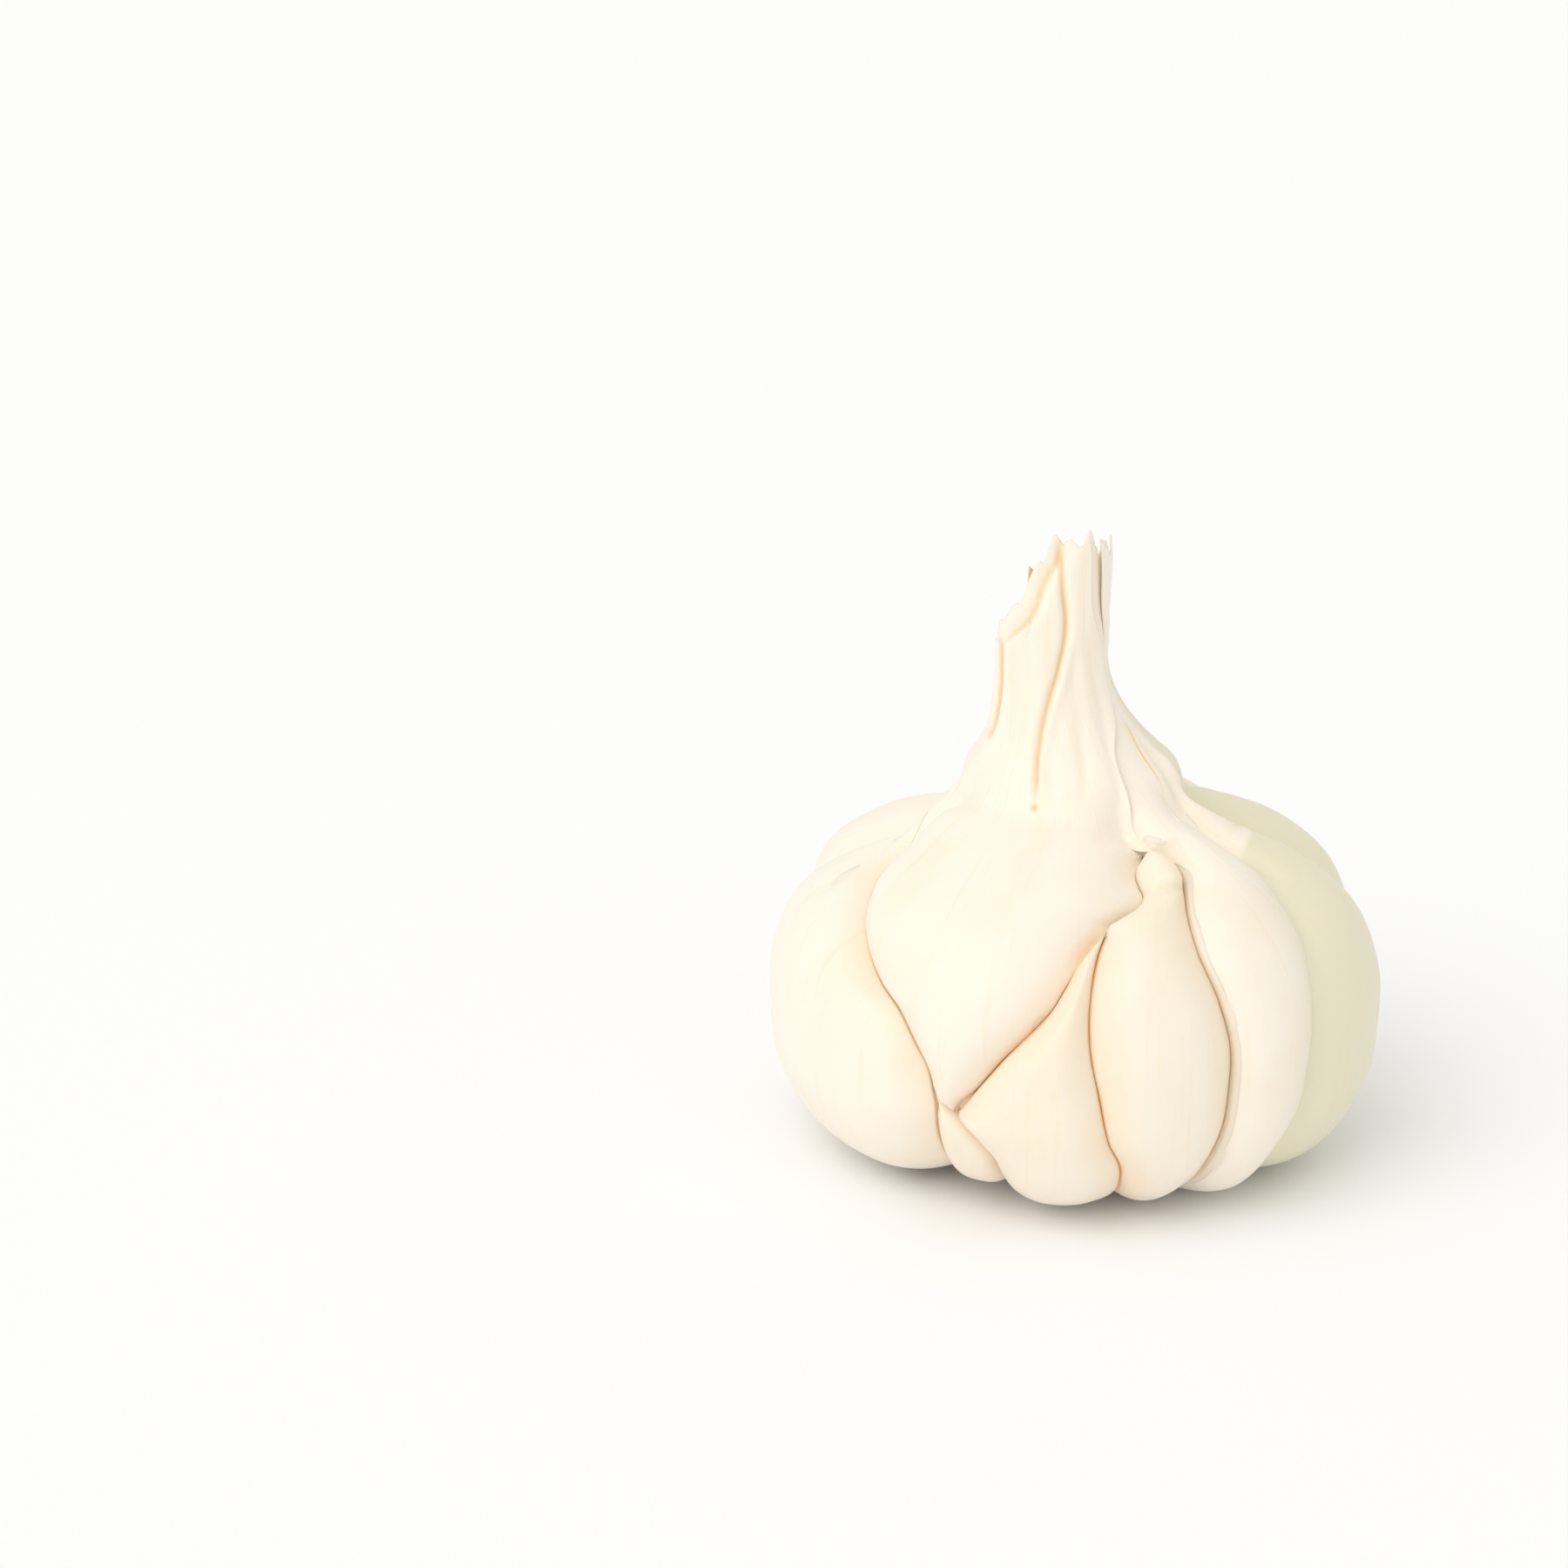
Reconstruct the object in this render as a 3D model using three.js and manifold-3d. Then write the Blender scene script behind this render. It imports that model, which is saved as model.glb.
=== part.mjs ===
// A whole garlic bulb standing on its root plate: cloves around a neck of dried leaf sheaths,
// partly wrapped in papery leaves. Millimetres, +Z up, origin at the middle of the root plate's
// flat underside. -Y is the front, and azimuth 0 faces it, growing towards +X.
import * as THREE from "three";
import { mergeVertices } from "three/addons/utils/BufferGeometryUtils.js";
import Module from "manifold-3d";

// Driving dimensions.
const HEART_HEIGHT = 17; // the point inside the bulb that every clove points to
const CLOVE_GAP = 0.6; // clear space across a seam
const LEAF_GAP = 0.4; // clear space between a clove and the leaf over it
const LEAF_THICKNESS = 0.5;
const LEAF_SIDE_GAP = 0.5; // clear space between two leaves side by side
const CORE_RADIUS = 5; // how near the heart a clove's inner edge comes
const TIP_LATITUDE = 67; // where the cloves' tips end, under the neck
const BASE_LATITUDE = -57; // where the cloves' bases end, at the root plate
const CLOVE_SEGMENTS = 22;
const CLOVE_RINGS = 17;
const LEAF_ROWS = 17;
const ROOT_COUNT = 12;

const DEG = Math.PI / 180;
const heart = new THREE.Vector3(0, 0, HEART_HEIGHT);

const wasm = await Module();
wasm.setup();

// The bulb's outer line, from under the cloves to the top of the neck: [station, radius, height,
// shift in X]. A station is about the latitude seen from the heart, in degrees, up to the shoulder,
// and runs on to 100 at the top of the neck.
const BULB_LINE = [
  [-62, 8.6, 1.9, 0],
  [-50, 14.0, 0.5, 0],
  [-40, 19.7, 0.6, 0],
  [-28, 26.2, 3.2, 0],
  [-15, 29.9, 9.0, 0],
  [-4, 30.6, 14.8, 0],
  [6, 30.3, 20.0, 0],
  [18, 27.9, 26.0, 0],
  [31, 23.0, 30.6, 0],
  [45, 17.2, 34.0, 0],
  [60, 11.8, 37.2, -0.2],
  [70, 7.4, 41.4, -1.2],
  [80, 5.0, 47, -2.4],
  [90, 4.4, 54, -2.7],
  [100, 2.9, 62.3, -2.4],
];

// A smooth curve through rows of [x, y, ...] whose x grows, read at x: column c of the row there.
function along(rows, x, c = 1) {
  const last = rows.length - 1;
  if (x <= rows[0][0]) return rows[0][c];
  if (x >= rows[last][0]) return rows[last][c];
  let i = 0;
  while (rows[i + 1][0] < x) i++;
  const slope = (k) => {
    const a = rows[Math.max(k - 1, 0)];
    const b = rows[Math.min(k + 1, last)];
    return (b[c] - a[c]) / (b[0] - a[0]);
  };
  const [p, q] = [rows[i], rows[i + 1]];
  const step = q[0] - p[0];
  const t = (x - p[0]) / step;
  const [t2, t3] = [t * t, t * t * t];
  return (
    (2 * t3 - 3 * t2 + 1) * p[c] +
    (t3 - 2 * t2 + t) * step * slope(i) +
    (3 * t2 - 2 * t3) * q[c] +
    (t3 - t2) * step * slope(i + 1)
  );
}

const smooth = (low, high, x) => THREE.MathUtils.smoothstep(x, low, high);
const lerp = THREE.MathUtils.lerp;

// How far the bulb's outer line is from the heart, by latitude.
const SHOULDER = 12; // rows of BULB_LINE up to the neck
const REACH = BULB_LINE.slice(0, SHOULDER).map(([, r, z]) => {
  const up = z - HEART_HEIGHT;
  return [Math.atan2(up, r) / DEG, Math.hypot(r, up)];
});

// The seams between cloves, as [latitude, azimuth] in degrees. The cloves that show are the broad
// main one, the small front and nub ones, a sliver, and the left and right ones beside them.
const [B, T] = [BASE_LATITUDE, TIP_LATITUDE];
const SEAMS = {
  left_main: [[-7.5, -27.5], [-3, -28.6], [1, -31], [8, -37], [12, -43.5], [18, -52], [24, -60], [36, -71], [52, -73], [T, -60]],
  sliver_main: [[-10, -21.8], [-7.5, -27.5]],
  main_front: [[-10, -21.8], [-3, -16.5], [3, -12], [12, -4], [17, -1], [24, 3], [31, 10]],
  main_nub: [[31, 10], [35, 19], [38, 22.5], [41, 22.8], [44, 23.2], [47, 24.8], [50, 28], [51, 30.5]],
  main_right: [[51, 30.5], [58, 28], [T, 22]],
  front_nub: [[B, 12], [-40, 12], [-20, 11], [-13, 8], [-4, 6], [6, 4], [15, 4], [24, 6], [31, 10]],
  nub_right: [[B, 28], [-40, 29], [-22, 31], [-10, 32.5], [3, 33], [13, 31.5], [22, 30], [31, 32], [37, 35.5], [41, 38], [45, 38.5], [49, 35.5], [51, 30.5]],
  left_sliver: [[B, -28], [-40, -28], [-20, -27.5], [-11, -27], [-7.5, -27.5]],
  sliver_front: [[B, -14], [-40, -13], [-20, -14.5], [-14, -18], [-10, -21.8]],
  right_flank: [[B, 45], [-40, 45], [-20, 47], [-10, 50], [2, 52], [15, 55], [27, 59], [40, 60], [54, 57], [T, 52]],
  flank_rear1: [[B, 90], [-30, 93], [0, 97], [25, 96], [46, 92], [T, 84]],
  rear1_rear2: [[B, 127], [-30, 130], [-5, 133], [25, 134], [46, 130], [T, 122]],
  rear2_rear3: [[B, 176], [-30, 175], [0, 172], [25, 173], [46, 175], [T, 170]],
  rear3_rear4: [[B, 218], [-30, 216], [0, 212], [25, 210], [46, 212], [T, 216]],
  rear4_left: [[B, 258], [-30, 256], [-5, 256], [20, 260], [44, 264], [T, 268]],
};

// One clove: the seams down its left and right sides as seen from outside, from the bottom up
// ("-" shifts a seam a full turn back), how far the clove stands out, how deep its edges dip and
// over what width they round off, how much its middle swells, and how round its ends are.
const CLOVES = {
  main: { left: ["sliver_main", "left_main"], right: ["main_front", "main_nub", "main_right"], lift: 0, edge: 4.2, round: 8.5, dome: 0.8, end: 3 },
  front: { left: ["sliver_front", "main_front"], right: ["front_nub"], lift: 0.2, edge: 4.2, round: 6.5, dome: 0.8, end: 4 },
  nub: { left: ["front_nub", "main_nub"], right: ["nub_right"], lift: 0, edge: 3.4, round: 5.5, dome: 0.6, end: 3 },
  sliver: { left: ["left_sliver"], right: ["sliver_front", "sliver_main"], lift: -1.8, edge: 2.6, round: 3.4, dome: 0.2, end: 3 },
  left: { left: ["-rear4_left"], right: ["left_sliver", "left_main"], lift: -0.4, edge: 4.6, round: 9.5, dome: 1.0, end: 6 },
  right: { left: ["nub_right", "main_right"], right: ["right_flank"], lift: 0.3, edge: 4.2, round: 7.0, dome: 0.8, end: 4 },
  flank: { left: ["right_flank"], right: ["flank_rear1"], lift: 0, edge: 4.6, round: 9.0, dome: 0.9, end: 6 },
  rear1: { left: ["flank_rear1"], right: ["rear1_rear2"], lift: -0.2, edge: 4.6, round: 8.5, dome: 0.8, end: 6 },
  rear2: { left: ["rear1_rear2"], right: ["rear2_rear3"], lift: 0, edge: 4.6, round: 9.0, dome: 0.9, end: 6 },
  rear3: { left: ["rear2_rear3"], right: ["rear3_rear4"], lift: -0.3, edge: 4.6, round: 8.5, dome: 0.8, end: 6 },
  rear4: { left: ["rear3_rear4"], right: ["rear4_left"], lift: 0, edge: 4.6, round: 9.0, dome: 0.9, end: 6 },
};

// The azimuth of one side of a clove at a latitude, and how it leans there.
function sideAt(names, latitude) {
  const lines = names.map((name) => SEAMS[name.replace("-", "")]);
  const k = Math.max(0, lines.findIndex((line) => latitude <= line[line.length - 1][0]));
  const shift = names[k].startsWith("-") ? -360 : 0;
  return { azimuth: along(lines[k], latitude) + shift, lean: along(lines[k], latitude + 0.5) - along(lines[k], latitude - 0.5) };
}

// A clove's middle azimuth and half width at a latitude, in degrees, clear of its seams and with
// its ends rounded; whole is the bulb's reach there and wide the length of a degree of azimuth.
function slice(clove, latitude) {
  const whole = along(REACH, latitude);
  const wide = whole * DEG * Math.cos(latitude * DEG);
  const [left, right] = [sideAt(clove.left, latitude), sideAt(clove.right, latitude)];
  const clear = ({ lean }) => ((CLOVE_GAP / 2) * Math.hypot(1, (lean * wide) / (whole * DEG))) / wide;
  const [from, to] = [left.azimuth + clear(left), right.azimuth - clear(right)];
  const end = Math.min(latitude - clove.low, clove.top - latitude) * whole * DEG - CLOVE_GAP / 2;
  const ease = Math.sqrt(1 - (1 - THREE.MathUtils.clamp(end / clove.end, 0, 1)) ** 2);
  return { whole, wide, end, ease, middle: (from + to) / 2, half: Math.max(0, ((to - from) / 2) * ease) };
}

// A clove ends where its seams meet, or just before, once it is too thin to be solid.
const THINNEST = 0.4;
for (const clove of Object.values(CLOVES)) {
  clove.low = SEAMS[clove.left[0].replace("-", "")][0][0];
  clove.top = SEAMS[clove.left.at(-1).replace("-", "")].at(-1)[0];
  const thin = (latitude) => {
    const wide = along(REACH, latitude) * DEG * Math.cos(latitude * DEG);
    const across = sideAt(clove.right, latitude).azimuth - sideAt(clove.left, latitude).azimuth;
    return across * wide < THINNEST * 2 + CLOVE_GAP * 1.6;
  };
  const middle = (clove.low + clove.top) / 2;
  while (clove.low < middle && thin(clove.low)) clove.low += 0.5;
  while (clove.top > middle && thin(clove.top)) clove.top -= 0.5;
}

// Distance from the heart to a clove's outer skin at a share across a slice, -1 left to 1 right.
function skinReach(clove, cut, share) {
  const side = (1 - Math.abs(share)) * cut.half * cut.wide;
  const other = (1 + Math.abs(share)) * cut.half * cut.wide;
  const near = [side, other, cut.end].map((d) => Math.max(d, 1e-6) ** -4);
  const inward = near.reduce((a, b) => a + b) ** -0.25 / clove.round;
  const edge = Math.sqrt(1 - (1 - Math.min(1, inward)) ** 2);
  return cut.whole + clove.lift - clove.edge * (1 - edge) - clove.dome * share * share;
}

function toward(azimuth, latitude, reach) {
  const [a, l] = [azimuth * DEG, latitude * DEG];
  return new THREE.Vector3(Math.cos(l) * Math.sin(a), -Math.cos(l) * Math.cos(a), Math.sin(l))
    .multiplyScalar(reach)
    .add(heart);
}

// A clove as a sphere whose poles are the clove's ends and whose front half is its outer skin.
function cloveGeometry(clove) {
  const ball = closed(new THREE.SphereGeometry(1, CLOVE_SEGMENTS, CLOVE_RINGS));
  const at = ball.getAttribute("position");
  const v = new THREE.Vector3();
  const inset = CLOVE_GAP / 2 / (along(REACH, clove.low) * DEG);
  for (let i = 0; i < at.count; i++) {
    v.fromBufferAttribute(at, i);
    const latitude = lerp(clove.low + inset, clove.top - inset, (v.y + 1) / 2);
    const cut = slice(clove, latitude);
    const share = Math.hypot(v.x, v.z) < 1e-6 ? 0 : v.x / Math.hypot(v.x, v.z);
    let reach = skinReach(clove, cut, share);
    if (v.z < 0) {
      const rim = skinReach(clove, cut, 1);
      const deep = Math.sqrt(1 - share * share) ** 0.8 * cut.ease;
      reach = lerp(rim, CORE_RADIUS, deep);
    }
    v.copy(toward(cut.middle + share * cut.half, latitude, reach));
    at.setXYZ(i, v.x, v.y, v.z);
  }
  return ball;
}

// Only positions, with shared vertices merged, so that the mesh is one closed surface.
function closed(geometry) {
  geometry.deleteAttribute("normal");
  geometry.deleteAttribute("uv");
  return mergeVertices(geometry, 1e-4);
}

// How far out the cloves reach at a place, less what the bulb's outer line does.
const SEAM_DEPTH = -5;
function clovesAt(azimuth, latitude) {
  let best = SEAM_DEPTH;
  for (const clove of Object.values(CLOVES)) {
    if (latitude < clove.low || latitude > clove.top) continue;
    const cut = slice(clove, latitude);
    const off = THREE.MathUtils.euclideanModulo(azimuth - cut.middle + 180, 360) - 180;
    if (Math.abs(off) < cut.half) best = Math.max(best, skinReach(clove, cut, off / cut.half) - cut.whole);
  }
  return best;
}

// The same for a leaf stretched over them, which spans the seams.
const STRETCH = 3.5; // degrees
function leafRise(azimuth, latitude) {
  let best = SEAM_DEPTH;
  for (const a of [-1, -0.5, 0, 0.5, 1]) {
    for (const l of [-1, -0.5, 0, 0.5, 1]) {
      const wide = STRETCH / Math.max(0.3, Math.cos(latitude * DEG));
      best = Math.max(best, clovesAt(azimuth + a * wide, latitude + l * STRETCH));
    }
  }
  return best;
}

// The papery leaves, side by side round the bulb and the neck. left and right are the side edges,
// as [station, azimuth]; low and top are the stations of the bottom and top edges, as
// [share across, station].
const LEAVES = {
  front_leaf: {
    columns: 14,
    left: [[-9, -21.7], [-7.5, -26.2], [-3, -27.6], [1, -30], [8, -36], [12, -42.5], [18, -51], [24, -58.5], [34, -71], [46, -85], [62, -99], [75, -112], [100, -112]],
    right: [[-9, -21], [-3, -17.5], [3, -13], [12, -5], [17, -2], [24, 2], [29, 7], [35, 17.5], [38, 21], [41, 21.3], [44, 21.7], [47, 23.3], [50, 26.6], [52.5, 29], [60, 28], [70, 38], [76, 58], [80, 66], [86, 60], [92, 42], [100, 36]],
    low: [[0, -9], [1, -9]],
    top: [[0, 86], [0.3, 92], [0.62, 99], [0.85, 94], [1, 88]],
  },
  left_leaf: {
    columns: 14,
    left: [[-40, -97], [0, -101], [20, -99], [46, -110], [62, -140], [75, -172], [100, -172]],
    right: [[-40, -31], [-20, -29.5], [-11, -29], [-7.5, -29.5], [-3, -30.5], [1, -33], [8, -39], [12, -45.5], [18, -54], [24, -61.5], [34, -74], [46, -88.5], [62, -103], [75, -116], [100, -116]],
    low: [[0, -35], [0.6, -37], [1, -33]],
    top: [[0, 84], [0.5, 90], [1, 84]],
  },
  right_leaf: {
    columns: 10,
    left: [[-40, 48], [-20, 49], [-10, 52], [2, 54], [15, 57], [25, 61], [32, 56], [38, 51], [50, 49], [60, 54], [70, 64], [76, 76], [80, 80], [86, 76], [92, 62], [100, 54]],
    right: [[-40, 92], [-30, 93], [0, 96], [25, 96], [46, 95], [62, 100], [75, 106], [100, 106]],
    low: [[0, -30], [0.5, -36], [1, -34]],
    top: [[0, 90], [0.35, 97], [0.55, 92], [0.8, 100], [1, 96]],
  },
  inner_leaf: {
    columns: 9,
    left: [[-46, 31], [-22, 33], [-10, 34.5], [3, 35], [13, 33.5], [22, 32], [31, 34], [37, 37.5], [41, 40], [45, 40.5], [49, 37.5], [54, 33], [60, 31.5], [70, 41], [76, 61], [80, 69], [86, 63], [92, 46]],
    right: [[-46, 44], [-20, 46.5], [-10, 49.5], [2, 51.5], [15, 54.5], [25, 58], [32, 53], [38, 48], [50, 46], [60, 51], [70, 61], [76, 73], [80, 77], [86, 73], [92, 60]],
    low: [[0, -40], [0.5, -42], [1, -40]],
    top: [[0, 87], [0.5, 91], [1, 88]],
  },
  back_leaf: {
    columns: 30,
    left: [[-40, 96], [-30, 97], [0, 100], [25, 100], [46, 99], [62, 104], [75, 110], [100, 110]],
    right: [[-40, 259], [0, 255], [20, 257], [46, 246], [62, 216], [75, 184], [100, 184]],
    low: [[0, -34], [0.2, -18], [0.45, -30], [0.7, -12], [0.85, -22], [1, -36]],
    top: [[0, 94], [0.5, 86], [1, 82]],
  },
};

// A leaf's place on the bulb's outer line, raised over the cloves and by off along the normal.
function leafPoint(station, azimuth, off) {
  const [r, z] = [along(BULB_LINE, station, 1), along(BULB_LINE, station, 2)];
  const ahead = [along(BULB_LINE, station + 0.5, 1) - r, along(BULB_LINE, station + 0.5, 2) - z];
  const behind = [r - along(BULB_LINE, station - 0.5, 1), z - along(BULB_LINE, station - 0.5, 2)];
  const normal = new THREE.Vector2(ahead[1] + behind[1], -ahead[0] - behind[0]).normalize();
  const latitude = Math.atan2(z - HEART_HEIGHT, r) / DEG;
  const reach = Math.hypot(r, z - HEART_HEIGHT);
  const rise = leafRise(azimuth, latitude) * (1 - smooth(56, TIP_LATITUDE, latitude));
  const p = toward(azimuth, latitude, reach + rise);
  p.x += along(BULB_LINE, station, 3);
  const a = azimuth * DEG;
  const out = normal.x * off;
  return p.add(new THREE.Vector3(Math.sin(a) * out, -Math.cos(a) * out, normal.y * off));
}

// A leaf as a box bent over the cloves: the box's X runs across, its Y up and its Z outwards.
function leafGeometry(leaf) {
  const sheet = closed(new THREE.BoxGeometry(1, 1, 1, leaf.columns, LEAF_ROWS, 1));
  const at = sheet.getAttribute("position");
  const v = new THREE.Vector3();
  for (let i = 0; i < at.count; i++) {
    v.fromBufferAttribute(at, i);
    const across = v.x + 0.5;
    const station = lerp(along(leaf.low, across), along(leaf.top, across), v.y + 0.5);
    const inset = LEAF_SIDE_GAP / 2 / (along(BULB_LINE, station) * DEG);
    const [left, right] = [along(leaf.left, station) + inset, along(leaf.right, station) - inset];
    const azimuth = lerp(left, Math.max(right, left + inset), across);
    const off = LEAF_GAP + (v.z + 0.5) * LEAF_THICKNESS;
    v.copy(leafPoint(station, azimuth, off));
    at.setXYZ(i, v.x, v.y, v.z);
  }
  return sheet;
}

// The innermost sheaths of the neck, rolled together into one fluted stalk that narrows to a wedge
// between the clove tips.
const NECK_LINE = [
  [0, 24],
  [2.6, 26],
  [4.4, 32],
  [5.6, 36.6],
  [5.2, 40.5],
  [3.8, 45],
  [3.4, 52],
  [2.9, 57.5],
  [0, 59.5],
];
const FLUTES = 5;
const FLUTE_DEPTH = 0.06;
function neckGeometry() {
  const line = NECK_LINE.map(([r, z]) => new THREE.Vector2(r, z));
  const stalk = closed(new THREE.LatheGeometry(line, 30)).rotateX(Math.PI / 2);
  const at = stalk.getAttribute("position");
  for (let i = 0; i < at.count; i++) {
    const swell = 1 + FLUTE_DEPTH * Math.cos(FLUTES * Math.atan2(at.getY(i), at.getX(i)));
    const lean = -2.6 * smooth(38, 47, at.getZ(i));
    at.setXY(i, at.getX(i) * swell + lean, at.getY(i) * swell);
  }
  return stalk;
}

// The corky root plate and the cut root stubs that grew from its rim, in one piece.
const PLATE_LINE = [
  [0, 0],
  [7.4, 0],
  [8.4, 1.0],
  [7.6, 2.6],
  [5.6, 4.2],
  [0, 5.0],
];
const ROOT_LENGTH = 3.4;
function rootPlateGeometry() {
  const plate = new THREE.LatheGeometry(PLATE_LINE.map(([r, z]) => new THREE.Vector2(r, z)), 36);
  plate.rotateX(Math.PI / 2);
  let whole = solid(closed(plate));
  for (let k = 0; k < ROOT_COUNT; k++) {
    const root = new THREE.CylinderGeometry(0.28, 0.42, ROOT_LENGTH, 6);
    root.rotateZ(-Math.PI / 2);
    root.translate(7.6, 0, 0.62);
    root.rotateZ(((k + 0.3 * Math.sin(5 * k)) / ROOT_COUNT) * 2 * Math.PI);
    whole = whole.add(solid(closed(root)));
  }
  return geometryOf(whole);
}

function solid(geometry) {
  const mesh = { numProp: 3, vertProperties: geometry.attributes.position.array, triVerts: new Uint32Array(geometry.index.array) };
  return new wasm.Manifold(new wasm.Mesh(mesh));
}

function geometryOf(made) {
  const mesh = made.getMesh();
  return new THREE.BufferGeometry()
    .setAttribute("position", new THREE.BufferAttribute(mesh.vertProperties, 3))
    .setIndex(new THREE.BufferAttribute(mesh.triVerts, 1));
}

const clovePeel = new THREE.MeshStandardMaterial({ color: 0xfdeed6, roughness: 0.45, metalness: 0 });
const paper = new THREE.MeshStandardMaterial({ color: 0xfbf0dc, roughness: 0.55, metalness: 0 });
const driedSheath = new THREE.MeshStandardMaterial({ color: 0xf0d9ae, roughness: 0.7, metalness: 0 });
const cork = new THREE.MeshStandardMaterial({ color: 0xc9ae7e, roughness: 0.85, metalness: 0 });

const garlic = new THREE.Group();
function piece(name, geometry, material) {
  const mesh = new THREE.Mesh(geometry, material);
  mesh.name = name;
  garlic.add(mesh);
}

piece("root_plate", rootPlateGeometry(), cork);
for (const [name, clove] of Object.entries(CLOVES)) piece(`${name}_clove`, cloveGeometry(clove), clovePeel);
for (const [name, leaf] of Object.entries(LEAVES)) piece(name, leafGeometry(leaf), paper);
piece("neck_core", neckGeometry(), driedSheath);

export default garlic;
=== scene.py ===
# %% [markdown]
# # A garlic bulb
# A garlic bulb is a ring of plump cloves that stand on a corky root plate and lean against each
# other round the dried stalk. Papery leaves, the bases of the plant's old leaves, wrap them and
# run up together as the neck. The CAD model gives the size and the pieces; this script makes each
# piece again with its fine surface, and replaces the plain solid with it.

import bmesh
import bpy
import numpy as np
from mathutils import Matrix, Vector


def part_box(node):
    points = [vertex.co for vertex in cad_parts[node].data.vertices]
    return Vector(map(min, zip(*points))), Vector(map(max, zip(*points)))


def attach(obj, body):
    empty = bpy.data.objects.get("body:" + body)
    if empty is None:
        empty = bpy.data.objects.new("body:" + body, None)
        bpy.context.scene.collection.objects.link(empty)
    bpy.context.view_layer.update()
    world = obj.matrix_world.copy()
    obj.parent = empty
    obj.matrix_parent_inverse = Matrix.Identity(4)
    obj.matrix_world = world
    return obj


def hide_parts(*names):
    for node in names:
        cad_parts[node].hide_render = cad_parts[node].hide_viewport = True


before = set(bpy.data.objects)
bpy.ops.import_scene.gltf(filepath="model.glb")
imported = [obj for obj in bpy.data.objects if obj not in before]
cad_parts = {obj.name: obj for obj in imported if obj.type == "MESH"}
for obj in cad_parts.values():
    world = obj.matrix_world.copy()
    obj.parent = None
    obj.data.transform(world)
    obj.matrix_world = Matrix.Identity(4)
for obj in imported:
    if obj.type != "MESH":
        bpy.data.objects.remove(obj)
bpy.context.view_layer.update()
MM = 0.001
DEG = np.pi / 180

# %% [markdown]
# ## One map for every piece
# Cloves and leaves all follow the same round body, so they are drawn on one map, like countries on
# a globe: azimuth round the bulb, and latitude up it, both seen from a point inside, its heart. A
# seam is then one curve that the pieces on both sides share, and nothing can cross it.

# %% The bulb's outer line
HEART = 17.0  # height of the heart, mm
# station, radius, height, shift in X: stations are latitudes up to the shoulder, 100 at the top
BULB_LINE = [
    (-62, 8.6, 1.9, 0),
    (-50, 14.0, 0.5, 0),
    (-40, 19.7, 0.6, 0),
    (-28, 26.2, 3.2, 0),
    (-15, 29.9, 9.0, 0),
    (-4, 30.6, 14.8, 0),
    (6, 30.3, 20.0, 0),
    (18, 27.9, 26.0, 0),
    (31, 23.0, 30.6, 0),
    (45, 17.2, 34.0, 0),
    (60, 11.8, 37.2, -0.2),
    (70, 7.4, 41.4, -1.2),
    (80, 5.0, 47.0, -2.4),
    (90, 4.4, 54.0, -2.7),
    (100, 2.9, 62.3, -2.4),
    (102, 2.8, 63.3, -2.4),
]


def along(rows, x, column=1):
    """A smooth curve through rows of (x, y, ...), read at every x."""
    table = np.array([(r[0], r[column]) for r in rows], float)
    xs, ys = table.T
    slope = np.gradient(ys, xs) if len(xs) > 2 else np.full(2, (ys[1] - ys[0]) / (xs[1] - xs[0]))
    slope[1:-1] = (ys[2:] - ys[:-2]) / (xs[2:] - xs[:-2])
    x = np.clip(np.asarray(x, float), xs[0], xs[-1])
    i = np.clip(np.searchsorted(xs, x, side="right") - 1, 0, len(xs) - 2)
    step = xs[i + 1] - xs[i]
    t = (x - xs[i]) / step
    return (
        (2 * t**3 - 3 * t**2 + 1) * ys[i]
        + (t**3 - 2 * t**2 + t) * step * slope[i]
        + (3 * t**2 - 2 * t**3) * ys[i + 1]
        + (t**3 - t**2) * step * slope[i + 1]
    )


def smooth(low, high, x):
    t = np.clip((np.asarray(x, float) - low) / (high - low), 0, 1)
    return t * t * (3 - 2 * t)


REACH = [
    (np.arctan2(z - HEART, r) / DEG, np.hypot(r, z - HEART)) for _, r, z, _ in BULB_LINE[:12]
]
print("from the heart to the outer line, mm:", [round(float(r), 1) for _, r in REACH])


# %% A gentle unevenness
def uneven(x, y, z, size, seed):
    """Smooth hills and hollows between -1 and 1, about size across, the same every time."""
    rng = np.random.default_rng(seed)
    total = 0
    for _ in range(7):
        way = rng.normal(size=3)
        way /= np.linalg.norm(way)
        pace = rng.uniform(0.7, 1.5) * 2 * np.pi / size
        total = total + np.sin((way[0] * x + way[1] * y + way[2] * z) * pace + rng.uniform(0, 6.3))
    return total / 4


def lopsided(azimuth, latitude):
    """Where this bulb is fuller or flatter than round, in mm: a full left shoulder, a dent behind it."""
    off = (azimuth + 180) % 360 - 180
    full = 1.5 * np.exp(-(((off + 78) / 26) ** 2) - ((latitude - 54) / 9) ** 2)
    dent = 3.2 * np.exp(-(((off + 114) / 30) ** 2) - ((latitude - 38) / 13) ** 2)
    return full - dent


# %% [markdown]
# ## The cloves' seams
# Garlic cloves crowd each other as they grow, so a clove's outline isn't its own: it is the line
# where two neighbours pressed together. Each seam is one row of (latitude, azimuth) here.

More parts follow.
